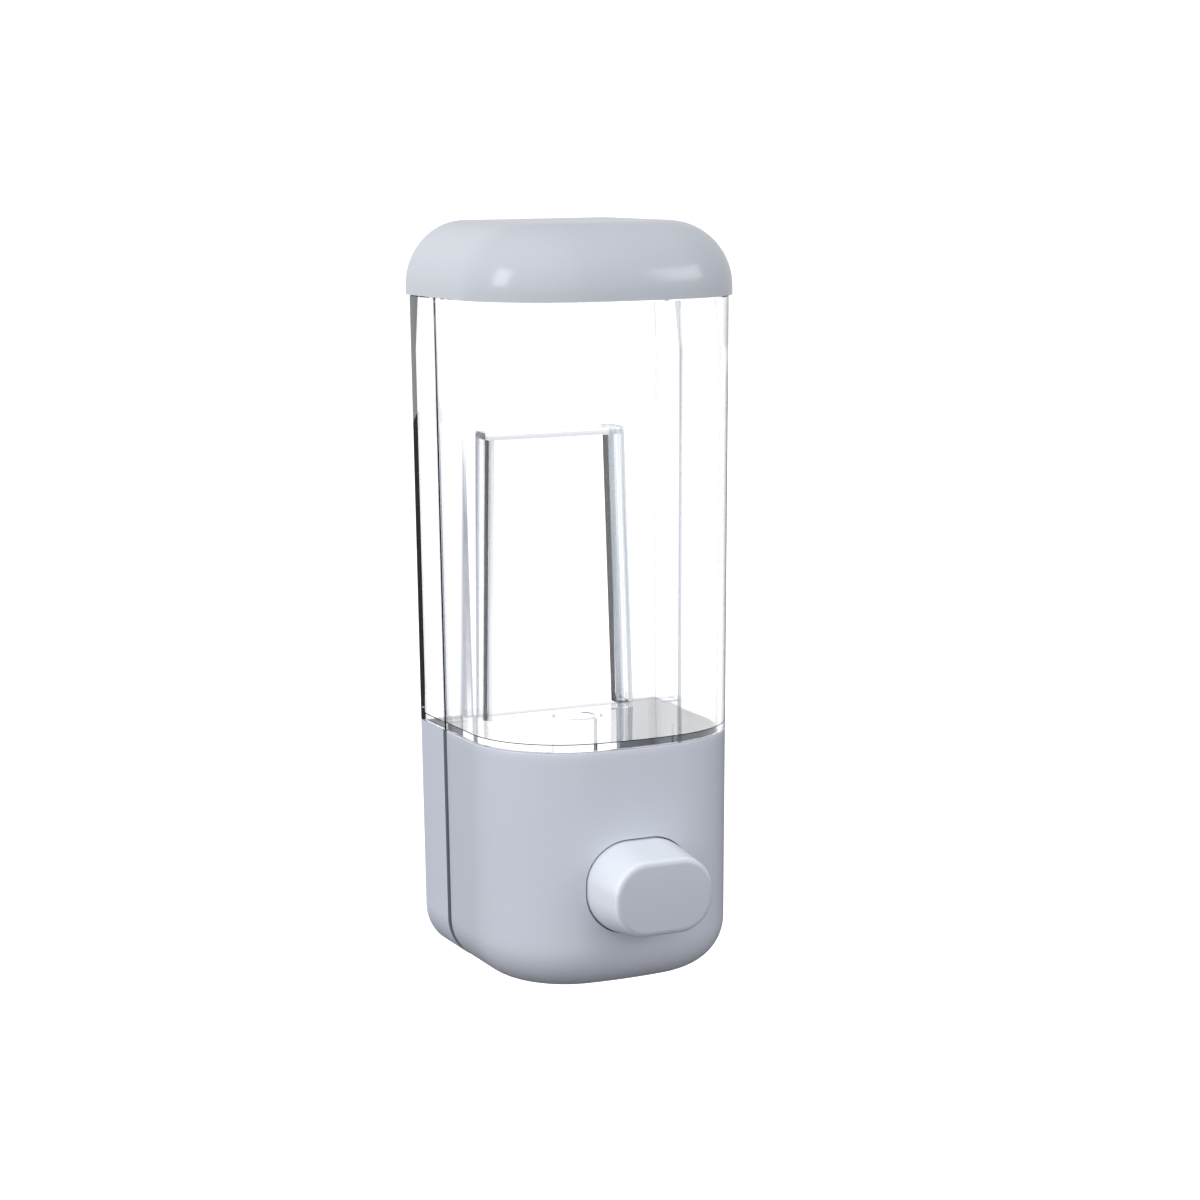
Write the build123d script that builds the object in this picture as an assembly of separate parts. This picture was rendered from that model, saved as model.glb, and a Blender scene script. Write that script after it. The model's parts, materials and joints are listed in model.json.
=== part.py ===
from build123d import *
import os
from math import sqrt

# Wall mounted soap dispenser, in millimetres.
# Heights in this file count from the underside of the housing, X runs to the right as seen from the
# front, and Y runs into the wall, whose face is y = 0.  The saved pieces are lowered by MOUNT_Z, so
# that the origin is the middle of the bracket's wall face.

# Driving dimensions
MOUNT_Z = 29.0  # middle of the bracket, level with the pump's axis
HOUSING_Z = 66.6  # top of the housing, where the container stands
LID_Z = 185.0  # underside of the lid
TOP_Z = 205.0  # top of the lid
HALF_WIDTH = 37.74  # half width under the lid
DEPTH = 66.0  # wall to front, under the lid
SLOPE = 0.0087  # each side and the front draw in this much per mm going down
SEAM_Y = -19.0  # where the front of the shell meets its back
BACK_Y = -0.8  # back of the shell, clear of the wall
BACK_STEP = 0.3  # the back is this much wider on each side
FRONT_CORNER = 27.2  # plan radius of the front corners
FRONT_BOW = 109.0  # plan radius of the front itself
BACK_CORNER = 0.6
SHADOW_GAP = (0.9, 0.8)  # width and depth of the groove along the housing's seam

# Shells
HOUSING_WALL = 2.2
BOTTOM_ROUND = 13.0
CONTAINER_WALL = 2.0
FLOOR = 2.0
LID_WALL = 2.0
LID_OVERHANG = 1.0
LID_BACK = -0.2
LID_ROUND = 17.5
NECK_INSET = 1.6
NECK_TOP = 190.0
NECK_WALL = 1.8
THICKEN_Z = 170.0  # the wall thickens evenly from here up to the neck
REST_GAP = 0.1  # under a piece that rests on another body

# Recess and channel behind, for the wall bracket
RECESS_TOP = 145.0
RECESS_Y = -12.5
RECESS_HALF_TOP = 19.7
RECESS_HALF_LOW = 21.8
CHANNEL_HALF = 23.7
CHANNEL_TOP = 50.0
WEB = 2.2
LIP_HALF = 17.4
LIP_FRONT = -4.5
LIP_TOP = 48.0

# Wall bracket
STEM_HALF = 17.0
STEM_Y = -4.8
HEAD_HALF = 22.0
HEAD_Y = -7.8
BRACKET_HEIGHT = 2 * (CHANNEL_TOP - REST_GAP - MOUNT_Z)
SCREW_SPACING = 28.0
SCREW_HOLE_R = 2.25
SCREW_SINK_R = 4.5

# Pump
PORT_Y = -25.5  # where the soap comes down into the pump
CYLINDER_R = 8.0
BORE_R = 6.5
CYLINDER_BACK = -19.5
CHAMBER_BACK = -21.5
CYLINDER_FRONT = -49.0
CAP_R = 10.0
CAP_FRONT = -51.0
CAP_LENGTH = 8.0
ROD_R = 3.0
ROD_HOLE_R = 3.06
SPIGOT_R = 7.0
SPIGOT_BORE_R = 5.0
SPIGOT_LOW = 43.0
SHELF_Z = 50.0
SHELF = 2.0
INLET_R = 4.6
INLET_TOP = 50.5
BALL_R = 2.4
BALL_ROOM_R = 2.9
SEAT_Z = 44.0
SEAT_R = 1.8
CAGE_Z = 37.2
CAGE_TOP = 38.5
SEAL_GROOVE = (46.3, 47.7)
SEAL_GROOVE_R = 3.7
OUTLET_Y = -41.0
OUTLET_Z = 16.0
OUTLET_R = 4.0
OUTLET_BORE_R = 1.9
DUCT_END = -20.2
SOCKET_R = 7.0
SOCKET_BORE_R = 5.2
SOCKET_LOW = 5.0
SOCKET_TOP = 12.0
NOZZLE_R = 4.2
NOZZLE_LOW = -1.2
NOZZLE_COLLAR_Z = 3.4
PISTON_BACK = -38.6
PISTON_FRONT = -44.4
PISTON_R = 6.2
PISTON_CORE_R = 4.5
PISTON_RIM = 1.0
ROD_SHOULDER = CYLINDER_FRONT + 0.2
ROD_FRONT = -76.0
SPRING_WIRE_R = 0.45
SPRING_R = 7.0
SPRING_TURNS = 7.5

# Button
BUTTON_FRONT = -80.0
BUTTON_SHOULDER = -66.0
BUTTON_BACK = -59.4
BUTTON_END = (28.5, 20.0)
BUTTON_BASE = (30.0, 25.0)
BUTTON_EDGE = 1.5
BUTTON_WALL = 1.8
BUTTON_GAP = 0.4
FLANGE = 2.0
FLANGE_THICK = 1.2

# Screws
COVER_SCREWS = [(x, z) for x in (-29.5, 29.5) for z in (15.0, 47.0)]
PUMP_SCREWS = [(-13.0, MOUNT_Z), (13.0, MOUNT_Z)]


def rod_y(radius, y0, y1, x=0.0, z=MOUNT_Z):
    """Round bar along Y."""
    return Pos(x, (y0 + y1) / 2, z) * Rot(90, 0, 0) * Cylinder(radius, abs(y1 - y0))


def rod_z(radius, z0, z1, x=0.0, y=PORT_Y):
    """Round bar along Z."""
    return Pos(x, y, (z0 + z1) / 2) * Cylinder(radius, z1 - z0)


def block(x0, x1, y0, y1, z0, z1):
    """Box between two corners."""
    middle = Pos((x0 + x1) / 2, (y0 + y1) / 2, (z0 + z1) / 2)
    return middle * Box(x1 - x0, y1 - y0, z1 - z0)


def half_at(z):
    """Half width of the shell at a height."""
    return HALF_WIDTH - (LID_Z - z) * SLOPE


def front_at(z):
    """Y of the shell's front at a height."""
    return -DEPTH + (LID_Z - z) * SLOPE


def front_plan(half, front, back, inset=0.0):
    """Straight sides, large front corners, and a front on a long radius."""
    bow = FRONT_BOW - inset
    sag = bow - sqrt(bow**2 - half**2)
    sides = Polyline((half, front + sag), (half, back), (-half, back), (-half, front + sag))
    nose = ThreePointArc((-half, front + sag), (0, front), (half, front + sag))
    face = make_face(sides.edges() + nose.edges())
    return fillet(face.vertices().group_by(Axis.Y)[0], FRONT_CORNER - inset)


def front_block(z0, z1, inset=0.0, back=SEAM_Y, top_inset=None):
    """The front of the shell between two heights, drawn in by inset, or by top_inset at its top."""
    top_inset = inset if top_inset is None else top_inset
    plans = [
        Pos(0, 0, z) * front_plan(half_at(z) - into, front_at(z) + into, back, into)
        for z, into in ((z0, inset), (z1, top_inset))
    ]
    return loft(plans, ruled=True)


def back_block(z0, z1, inset=0.0, front=SEAM_Y, corner=0.0, top_inset=None):
    """The slightly wider back of the shell between two heights, drawn in like the front."""
    top_inset = inset if top_inset is None else top_inset
    plans = []
    for z, into in ((z0, inset), (z1, top_inset)):
        half, back = half_at(z) + BACK_STEP - into, BACK_Y - into
        face = Pos(0, (front + back) / 2) * Rectangle(2 * half, back - front)
        if corner:
            face = fillet(face.vertices().group_by(Axis.Y)[-1], corner)
        plans.append(Pos(0, 0, z) * face)
    return loft(plans, ruled=True)


def cover_shape(inset, rise=0.0, back=SEAM_Y):
    """Front cover's outer or inner form, rounded below except across its back."""
    solid = front_block(inset, HOUSING_Z + rise, inset, back)
    low = solid.edges().group_by(Axis.Z)[0].sort_by(Axis.Y)[:-1]
    return fillet(low, BOTTOM_ROUND - inset)


def rear_shape(inset, rise, front):
    """Rear housing's outer or inner form, rounded below along its two sides."""
    solid = back_block(inset, HOUSING_Z + rise, inset, front)
    low = solid.edges().group_by(Axis.Z)[0].filter_by(Axis.Y)
    return fillet(low, BOTTOM_ROUND + BACK_STEP - inset)


def button_plan(size, y, grow=0.0):
    """Soft oblong across the button's axis."""
    width, height = size[0] + 2 * grow, size[1] + 2 * grow
    return Pos(0, y, MOUNT_Z) * Rot(90, 0, 0) * RectangleRounded(width, height, height * 0.46)


def across_y(size, y0, y1, grow=0.0):
    """Straight bar of the button's outline."""
    return loft([button_plan(size, y, grow) for y in (y0, y1)], ruled=True)


def screw(length, radius, head_r, head_thick):
    """Pan-head screw with a cross recess, its shank down from the origin and its head above."""
    shank = Pos(0, 0, -length / 2) * Cylinder(radius, length)
    head = Pos(0, 0, head_thick / 2) * Cylinder(head_r, head_thick)
    head = fillet(head.edges().group_by(Axis.Z)[-1], head_thick * 0.45)
    slots = [
        Pos(0, 0, head_thick) * Rot(0, 0, turn) * Box(head_r, 0.25 * head_r, head_thick)
        for turn in (0, 90)
    ]
    return shank + head - slots


def make_wall_bracket():
    """T-shaped plate: the stem lies on the wall, and the head hooks behind the housing's lips."""
    low, high = MOUNT_Z - BRACKET_HEIGHT / 2, MOUNT_Z + BRACKET_HEIGHT / 2
    stem = block(-STEM_HALF, STEM_HALF, STEM_Y, 0, low, high)
    head = block(-HEAD_HALF, HEAD_HALF, HEAD_Y, STEM_Y, low, high)
    head = chamfer(head.edges().filter_by(Axis.Y).group_by(Axis.Z)[-1], 3.0)
    plate = stem + head
    for z in (MOUNT_Z - SCREW_SPACING / 2, MOUNT_Z + SCREW_SPACING / 2):
        plate -= rod_y(SCREW_HOLE_R, 1, HEAD_Y - 1, 0, z)
        sink = Cone(SCREW_HOLE_R, SCREW_SINK_R, SCREW_SINK_R - SCREW_HOLE_R)
        plate -= Pos(0, HEAD_Y + (SCREW_SINK_R - SCREW_HOLE_R) / 2, z) * Rot(90, 0, 0) * sink
    return plate


def make_rear_housing():
    """Back half of the housing: shell, bracket channel with its lips, shelf and screw posts."""
    front = SEAM_Y + 0.5
    outer = rear_shape(0, 0, front)
    outer = fillet(outer.faces().sort_by(Axis.Y)[-1].outer_wire().edges(), BACK_CORNER)
    shell = outer - rear_shape(HOUSING_WALL, 1, front - 1)
    width, depth = SHADOW_GAP
    groove = rear_shape(0, 1, front - 1) - rear_shape(depth, 2, front - 2)
    shell -= groove & block(-50, 50, front - 1, front + width, -1, HOUSING_Z + 1)
    # tongue that the front cover slips over
    back = front + 1.5
    tongue = cover_shape(HOUSING_WALL + 0.2, 0, back) - cover_shape(HOUSING_WALL + 1.4, 1, back + 1)
    root = rear_shape(depth + 0.2, 0, front) - rear_shape(HOUSING_WALL + 1.7, 1, front - 1)
    tongue += root & block(-50, 50, front, back, 0, HOUSING_Z)
    tongue &= block(-50, 50, SEAM_Y - 2.5, back, 0, HOUSING_Z - 5)
    for x, z in COVER_SCREWS:
        tongue -= rod_y(3.7, SEAM_Y - 5, SEAM_Y, x, z)
    shell += tongue
    # channel for the bracket, open below
    channel_out, channel_in = CHANNEL_HALF + WEB, CHANNEL_HALF
    box = block(-channel_out, channel_out, RECESS_Y - WEB, BACK_Y - 0.5, 0, CHANNEL_TOP + WEB)
    shell += box
    shell -= block(-channel_in, channel_in, RECESS_Y, 1, -1, CHANNEL_TOP)
    shell -= block(-channel_in, channel_in, BACK_Y - HOUSING_WALL, 1, CHANNEL_TOP - 1, HOUSING_Z + 1)
    for side in (-1, 1):
        near, far = sorted((side * LIP_HALF, side * CHANNEL_HALF))
        shell += block(near, far, LIP_FRONT, BACK_Y, 0, LIP_TOP)
    # shelf that the container's spigot is clamped to
    shell += block(-15, 15, -37, RECESS_Y - 1, SHELF_Z, SHELF_Z + SHELF)
    shell -= rod_z(SPIGOT_R + 0.2, SHELF_Z - 1, SHELF_Z + SHELF + 1)
    # wells for the cover's screws, and posts for the pump's
    for x, z in COVER_SCREWS:
        shell += rod_y(4.6, SEAM_Y, BACK_Y - 1.0, x, z)
        shell -= rod_y(3.4, SEAM_Y + 3.0, BACK_Y + 1, x, z)
        shell -= rod_y(1.7, SEAM_Y - 1, SEAM_Y + 4, x, z)
    for x, z in PUMP_SCREWS:
        shell += rod_y(3.6, RECESS_Y - 1, -17.5, x, z)
        shell -= rod_y(1.2, RECESS_Y - 0.6, -18, x, z)
    return shell


def make_front_cover():
    """Front half of the housing, with the button's opening and the nozzle's hole below."""
    cover = cover_shape(0) - cover_shape(HOUSING_WALL, 1, SEAM_Y + 1)
    cover -= across_y(BUTTON_BASE, BUTTON_FRONT, BUTTON_BACK + 5, BUTTON_GAP)
    cover -= rod_z(NOZZLE_R + 0.8, -1, HOUSING_WALL + 1, 0, OUTLET_Y)
    for x, z in COVER_SCREWS:
        post = rod_y(3.4, SEAM_Y - 12, SEAM_Y - 0.1, x, z)
        near, far = sorted((x, x * 1.25))
        rib = block(near, far, SEAM_Y - 11, SEAM_Y - 3, z - 0.8, z + 0.8)
        cover += (post + rib) & cover_shape(0.5)
        cover -= rod_y(1.25, SEAM_Y - 10.5, SEAM_Y + 1, x, z)
    return cover


def recess_block(grow):
    """Space behind the container, wider towards the bottom, with its walls moved out by grow."""
    depth = -RECESS_Y + grow
    plans = []
    for z, half in ((HOUSING_Z - 8, RECESS_HALF_LOW), (RECESS_TOP + grow, RECESS_HALF_TOP)):
        face = Pos(0, -depth / 2 + 5) * RectangleRounded(2 * (half + grow), depth + 10, 1.5 + grow)
        plans.append(Pos(0, 0, z) * face)
    return loft(plans, ruled=True)


def make_container():
    """Clear container: drafted walls, a recess behind, a neck for the lid and a spigot below."""
    wall = CONTAINER_WALL
    outer = front_block(HOUSING_Z, LID_Z) + back_block(HOUSING_Z, LID_Z, 0, SEAM_Y, BACK_CORNER)
    floor_z = HOUSING_Z + FLOOR
    inner = front_block(floor_z, THICKEN_Z, wall)
    inner += back_block(floor_z, THICKEN_Z, wall, SEAM_Y - 1, 1.0)
    inner -= recess_block(wall)
    mouth = NECK_INSET + NECK_WALL
    inner += front_block(THICKEN_Z, LID_Z, wall, SEAM_Y, mouth)
    inner += back_block(THICKEN_Z, LID_Z, wall, SEAM_Y - 1, 1.0, mouth)
    inner += front_block(LID_Z, NECK_TOP + 1, mouth)
    inner += back_block(LID_Z, NECK_TOP + 1, mouth, SEAM_Y - 1, 1.0)
    neck = front_block(LID_Z - 1, NECK_TOP, NECK_INSET, SEAM_Y)
    neck += back_block(LID_Z - 1, NECK_TOP, NECK_INSET, SEAM_Y - 1, 1.0)
    body = outer + neck - inner - recess_block(0)
    # skirt that stands inside the housing's rim
    skirt_out = front_block(HOUSING_Z - 4, HOUSING_Z + 0.5, HOUSING_WALL + 0.3, SEAM_Y)
    skirt_out += back_block(HOUSING_Z - 4, HOUSING_Z + 0.5, HOUSING_WALL + 0.3, SEAM_Y - 1, 1.0)
    skirt_in = front_block(HOUSING_Z - 5, HOUSING_Z, HOUSING_WALL + 1.8, SEAM_Y)
    skirt_in += back_block(HOUSING_Z - 5, HOUSING_Z, HOUSING_WALL + 1.8, SEAM_Y - 1, 1.0)
    skirt = skirt_out - skirt_in
    skirt -= block(-25, 25, RECESS_Y - 3, 5, HOUSING_Z - 9, HOUSING_Z + 1)
    spigot = rod_z(SPIGOT_R, SPIGOT_LOW, HOUSING_Z + 1)
    spigot += rod_z(9.5, SHELF_Z + SHELF, SHELF_Z + SHELF + 2)
    body += skirt + spigot
    body -= rod_z(SPIGOT_BORE_R, SPIGOT_LOW - 1, HOUSING_Z + FLOOR + 1)
    return body


def make_container_nut():
    """Winged nut that clamps the spigot to the housing's shelf."""
    nut = rod_z(9.6, SHELF_Z - 5.5, SHELF_Z)
    for side in (-1, 1):
        near, far = sorted((side * 8, side * 13))
        nut += block(near, far, PORT_Y - 1.5, PORT_Y + 1.5, SHELF_Z - 5.5, SHELF_Z - 0.5)
    return nut - rod_z(SPIGOT_R + 0.02, SHELF_Z - 6, SHELF_Z + 1)


def make_pump_body():
    """Cylinder, inlet stub above, outlet duct and nozzle socket below, and a back flange."""
    body = rod_y(CYLINDER_R, CYLINDER_BACK, CYLINDER_FRONT)
    body += block(-16.5, 16.5, CYLINDER_BACK, -17.5, MOUNT_Z - 9, MOUNT_Z + 9)
    body += rod_z(INLET_R, MOUNT_Z, INLET_TOP)
    body += rod_z(OUTLET_R + 0.6, OUTLET_Z, MOUNT_Z)
    body += rod_y(OUTLET_R, DUCT_END, OUTLET_Y, 0, OUTLET_Z)
    body += rod_z(SOCKET_R, SOCKET_LOW, OUTLET_Z, 0, OUTLET_Y)
    body += block(-1, 1, OUTLET_Y, PORT_Y, OUTLET_Z, MOUNT_Z - BORE_R - 0.5)
    body -= rod_y(BORE_R, CHAMBER_BACK, CYLINDER_FRONT - 1)
    body -= rod_z(OUTLET_BORE_R, MOUNT_Z, CAGE_Z)
    body -= rod_z(BALL_ROOM_R, CAGE_Z, SEAT_Z)
    body -= rod_z(SEAT_R, SEAT_Z - 1, INLET_TOP + 1)
    groove = rod_z(INLET_R + 1, *SEAL_GROOVE) - rod_z(SEAL_GROOVE_R, 46, 48)
    body -= groove
    body -= rod_z(OUTLET_BORE_R, OUTLET_Z, MOUNT_Z)
    body -= rod_y(OUTLET_BORE_R, DUCT_END + 1, OUTLET_Y, 0, OUTLET_Z)
    body -= rod_z(OUTLET_BORE_R, SOCKET_TOP - 1, OUTLET_Z, 0, OUTLET_Y)
    body -= rod_z(SOCKET_BORE_R, SOCKET_LOW - 1, SOCKET_TOP, 0, OUTLET_Y)
    for x, z in PUMP_SCREWS:
        body -= rod_y(1.7, -17, CYLINDER_BACK - 1, x, z)
    return body


def make_duct_plug():
    """Plug in the open end of the outlet duct."""
    stem = rod_y(OUTLET_BORE_R, DUCT_END, DUCT_END - 1.8, 0, OUTLET_Z)
    return stem + rod_y(3.2, DUCT_END + 1, DUCT_END, 0, OUTLET_Z)


def make_inlet_seal():
    """Ring between the pump's inlet stub and the container's spigot."""
    return Pos(0, PORT_Y, 47.0) * Torus(4.33, 0.62)


def make_inlet_cage():
    """Ring with a cross bar that holds the inlet ball up."""
    ring = rod_z(BALL_ROOM_R - 0.02, CAGE_Z, CAGE_TOP) - rod_z(2.0, CAGE_Z - 1, CAGE_TOP + 1)
    return ring + block(-2.4, 2.4, PORT_Y - 0.45, PORT_Y + 0.45, CAGE_Z, CAGE_TOP)


def make_inlet_ball():
    """Steel ball of the inlet valve, resting on its cage."""
    return Pos(0, PORT_Y, CAGE_TOP + REST_GAP + BALL_R) * Sphere(BALL_R)


def make_outlet_valve():
    """Duckbill valve: a flange, a round neck and a flat tip with a slit."""
    valve = rod_z(SOCKET_BORE_R - 0.05, SOCKET_TOP - 1.5, SOCKET_TOP, 0, OUTLET_Y)
    neck = Pos(0, OUTLET_Y, SOCKET_TOP - 1.5) * Circle(3.2)
    tip = Pos(0, OUTLET_Y, 4.6) * RectangleRounded(5.6, 1.6, 0.6)
    valve += loft([tip, neck], ruled=False)
    core = Pos(0, OUTLET_Y, SOCKET_TOP) * Circle(2.2)
    slit = Pos(0, OUTLET_Y, 4.4) * Rectangle(4.2, 0.3)
    return valve - loft([slit, core], ruled=False)


def make_nozzle():
    """Nozzle that holds the duckbill in its socket and ends just under the housing."""
    nozzle = rod_z(SOCKET_BORE_R - 0.05, SOCKET_LOW, SOCKET_TOP - 1.5, 0, OUTLET_Y)
    nozzle += rod_z(SOCKET_R, NOZZLE_COLLAR_Z, SOCKET_LOW, 0, OUTLET_Y)
    nozzle += rod_z(NOZZLE_R, NOZZLE_LOW, NOZZLE_COLLAR_Z, 0, OUTLET_Y)
    nozzle -= rod_z(3.7, NOZZLE_COLLAR_Z, SOCKET_TOP, 0, OUTLET_Y)
    nozzle -= rod_z(3.0, NOZZLE_LOW - 1, 4, 0, OUTLET_Y)
    return chamfer(nozzle.edges().group_by(Axis.Z)[0].sort_by(SortBy.RADIUS)[-1], 0.5)


def make_cylinder_cap():
    """Cap over the cylinder's open end, which guides the rod and stops the piston."""
    cap = rod_y(CAP_R, CAP_FRONT, CAP_FRONT + CAP_LENGTH)
    for turn in range(12):
        groove = Rot(0, turn * 30, 0) * Pos(CAP_R + 0.6, 0, 0) * Rot(90, 0, 0) * Cylinder(1.1, 40)
        cap -= Pos(0, CAP_FRONT, MOUNT_Z) * groove
    cap -= rod_y(CYLINDER_R + 0.02, CYLINDER_FRONT, CAP_FRONT + CAP_LENGTH + 1)
    cap -= rod_y(ROD_HOLE_R, CAP_FRONT - 1, CYLINDER_FRONT + 1)
    return cap - rod_y(0.6, CAP_FRONT - 1, CYLINDER_FRONT + 1, 0, MOUNT_Z + 5)


def make_plunger():
    """Rod with a grooved piston head and a shoulder that stops on the cap."""
    plunger = rod_y(PISTON_R, PISTON_BACK, PISTON_BACK - PISTON_RIM)
    plunger += rod_y(PISTON_CORE_R, PISTON_BACK - PISTON_RIM, PISTON_FRONT + PISTON_RIM)
    plunger += rod_y(PISTON_R, PISTON_FRONT + PISTON_RIM, PISTON_FRONT)
    plunger += rod_y(5.0, PISTON_FRONT, ROD_SHOULDER)
    return plunger + rod_y(ROD_R, ROD_SHOULDER, ROD_FRONT)


def make_piston_seal():
    """Cup seal in the piston's groove, with a running fit in the cylinder."""
    back, front = PISTON_BACK - PISTON_RIM - 0.1, PISTON_FRONT + PISTON_RIM + 0.1
    seal = rod_y(BORE_R - 0.05, back, front) - rod_y(PISTON_CORE_R + 0.02, back + 1, front - 1)
    return seal - (rod_y(5.9, back + 1, back - 1.5) - rod_y(5.2, back + 2, back - 2))


def make_return_spring():
    """Compression spring between the cylinder cap and the inside of the button."""
    room = SPRING_WIRE_R + 0.05
    back, front = CAP_FRONT - room, BUTTON_FRONT + BUTTON_WALL + room
    length = back - front
    helix = Helix(length / SPRING_TURNS, length, SPRING_R, (0, back, MOUNT_Z), (0, -1, 0))
    return sweep(Plane(helix @ 0, z_dir=helix % 0) * Circle(SPRING_WIRE_R), path=helix)


def make_push_button():
    """Hollow button with a retaining flange and a socket for the plunger's rod."""
    nose = loft(
        [button_plan(BUTTON_BASE, BUTTON_SHOULDER), button_plan(BUTTON_END, BUTTON_FRONT)],
        ruled=True,
    )
    nose = fillet(nose.edges().group_by(Axis.Y)[0], BUTTON_EDGE)
    button = nose + across_y(BUTTON_BASE, BUTTON_SHOULDER, BUTTON_BACK)
    button += across_y(BUTTON_BASE, BUTTON_BACK - FLANGE_THICK, BUTTON_BACK, FLANGE)
    hollow = loft(
        [
            button_plan(BUTTON_BASE, BUTTON_SHOULDER, -BUTTON_WALL),
            button_plan(BUTTON_END, BUTTON_FRONT + BUTTON_WALL, -BUTTON_WALL),
        ],
        ruled=True,
    )
    button -= hollow + across_y(BUTTON_BASE, BUTTON_SHOULDER, BUTTON_BACK + 1, -BUTTON_WALL)
    button += rod_y(5.2, BUTTON_FRONT + BUTTON_WALL - 0.5, ROD_FRONT + 8)
    return button - rod_y(ROD_R + 0.02, ROD_FRONT, ROD_FRONT + 9)


def lid_shape(inset, low):
    """Lid's outer or inner form: rounded over its sides and front, flat behind."""
    half = HALF_WIDTH + LID_OVERHANG - inset
    front = -DEPTH - LID_OVERHANG + inset
    plan = front_plan(half, front, LID_BACK - inset, inset - LID_OVERHANG)
    solid = extrude(Pos(0, 0, low) * plan, TOP_Z - inset - low)
    top = solid.edges().group_by(Axis.Z)[-1]
    back = top.sort_by(Axis.Y)[-1]
    return fillet([edge for edge in top if edge != back], LID_ROUND - inset)


def make_lid():
    """Lift-off lid, with an inner skirt that stands in the container's mouth."""
    outer = lid_shape(0, LID_Z + REST_GAP)
    shell = outer - lid_shape(LID_WALL, LID_Z - 1)
    plug = NECK_INSET + NECK_WALL + 0.5
    skirt = front_block(186, TOP_Z, plug, SEAM_Y) + back_block(186, TOP_Z, plug, SEAM_Y - 1, 1.0)
    hollow = front_block(185, TOP_Z + 1, plug + 1.6, SEAM_Y)
    hollow += back_block(185, TOP_Z + 1, plug + 1.6, SEAM_Y - 1, 1.0)
    shell += (skirt - hollow) & lid_shape(0.5, LID_Z)
    rim = shell.edges().filter_by(Axis.Z).sort_by(Axis.Y)[-2:]
    return fillet(rim, 1.2)


def make_lid_seal():
    """Flat seal round the lid's skirt, over the rim of the container's mouth."""
    plug = NECK_INSET + NECK_WALL + 0.48
    low, high = NECK_TOP + REST_GAP, NECK_TOP + 1.4
    outer = front_block(low, high, NECK_INSET + 0.3, SEAM_Y)
    outer += back_block(low, high, NECK_INSET + 0.3, SEAM_Y - 1, 1.0)
    inner = front_block(low - 1, high + 1, plug, SEAM_Y)
    inner += back_block(low - 1, high + 1, plug, SEAM_Y - 1, 1.0)
    return outer - inner


def make_cover_screws():
    """Four screws that hold the cover to the rear housing, deep in their wells."""
    towards_front = Rot(-90, 0, 0)
    made = screw(12.0, 1.25, 2.9, 1.8)
    return [Pos(x, SEAM_Y + 3.0, z) * towards_front * made for x, z in COVER_SCREWS]


def make_pump_screws():
    """Two screws through the pump's back flange, driven from the front."""
    towards_wall = Rot(90, 0, 0)
    made = screw(6.0, 1.2, 2.7, 1.6)
    return [Pos(x, CYLINDER_BACK, z) * towards_wall * made for x, z in PUMP_SCREWS]


PIECES = {
    "wall_bracket": make_wall_bracket,
    "rear_housing": make_rear_housing,
    "front_cover": make_front_cover,
    "cover_screws": make_cover_screws,
    "container": make_container,
    "container_nut": make_container_nut,
    "pump_body": make_pump_body,
    "pump_screws": make_pump_screws,
    "duct_plug": make_duct_plug,
    "inlet_seal": make_inlet_seal,
    "inlet_cage": make_inlet_cage,
    "inlet_ball": make_inlet_ball,
    "outlet_valve": make_outlet_valve,
    "nozzle": make_nozzle,
    "cylinder_cap": make_cylinder_cap,
    "plunger": make_plunger,
    "piston_seal": make_piston_seal,
    "return_spring": make_return_spring,
    "push_button": make_push_button,
    "lid": make_lid,
    "lid_seal": make_lid_seal,
}

os.makedirs("parts", exist_ok=True)
for name, make in PIECES.items():
    made = make()
    solids = made if isinstance(made, list) else list(made.solids())
    piece = Compound(children=[Pos(0, 0, -MOUNT_Z) * solid for solid in solids])
    export_step(piece, f"parts/{name}.step")
    print(name, len(solids), round(piece.volume, 1))
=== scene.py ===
"""Looks of a wall mounted soap dispenser: clear container, grey lid and housing, push button.

Lengths are in millimetres until a mesh is made, and then in metres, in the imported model's frame.
"""

import json
import math

import bmesh
import bpy
import numpy as np
from mathutils import Matrix, Vector


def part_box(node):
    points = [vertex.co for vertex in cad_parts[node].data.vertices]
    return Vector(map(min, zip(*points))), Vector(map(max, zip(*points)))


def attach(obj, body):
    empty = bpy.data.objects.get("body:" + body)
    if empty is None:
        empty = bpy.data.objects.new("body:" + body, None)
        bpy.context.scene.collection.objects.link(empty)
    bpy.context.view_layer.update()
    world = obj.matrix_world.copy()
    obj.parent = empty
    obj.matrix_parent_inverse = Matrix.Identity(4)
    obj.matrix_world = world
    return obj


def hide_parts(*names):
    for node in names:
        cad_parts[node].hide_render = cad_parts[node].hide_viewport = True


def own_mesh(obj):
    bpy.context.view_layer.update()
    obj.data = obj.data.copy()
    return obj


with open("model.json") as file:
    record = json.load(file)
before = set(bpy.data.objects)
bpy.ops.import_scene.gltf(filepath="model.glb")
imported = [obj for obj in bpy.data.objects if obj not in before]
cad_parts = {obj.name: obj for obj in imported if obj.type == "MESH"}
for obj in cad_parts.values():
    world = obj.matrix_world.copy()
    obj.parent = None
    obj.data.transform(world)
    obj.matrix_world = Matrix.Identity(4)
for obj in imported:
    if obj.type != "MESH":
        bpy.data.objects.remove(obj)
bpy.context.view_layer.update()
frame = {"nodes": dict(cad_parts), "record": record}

MM = 0.001


def box_mm(node):
    """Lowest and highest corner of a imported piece, in mm."""
    low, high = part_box(node)
    return np.array(low) / MM, np.array(high) / MM


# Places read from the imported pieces
cover_low, cover_high = box_mm("front_cover")
container_low, container_high = box_mm("container")
lid_low, lid_high = box_mm("lid")
button_low, button_high = box_mm("push_button")
spring_low, spring_high = box_mm("return_spring")
socket_low, socket_high = box_mm("inlet_seal")

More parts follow.
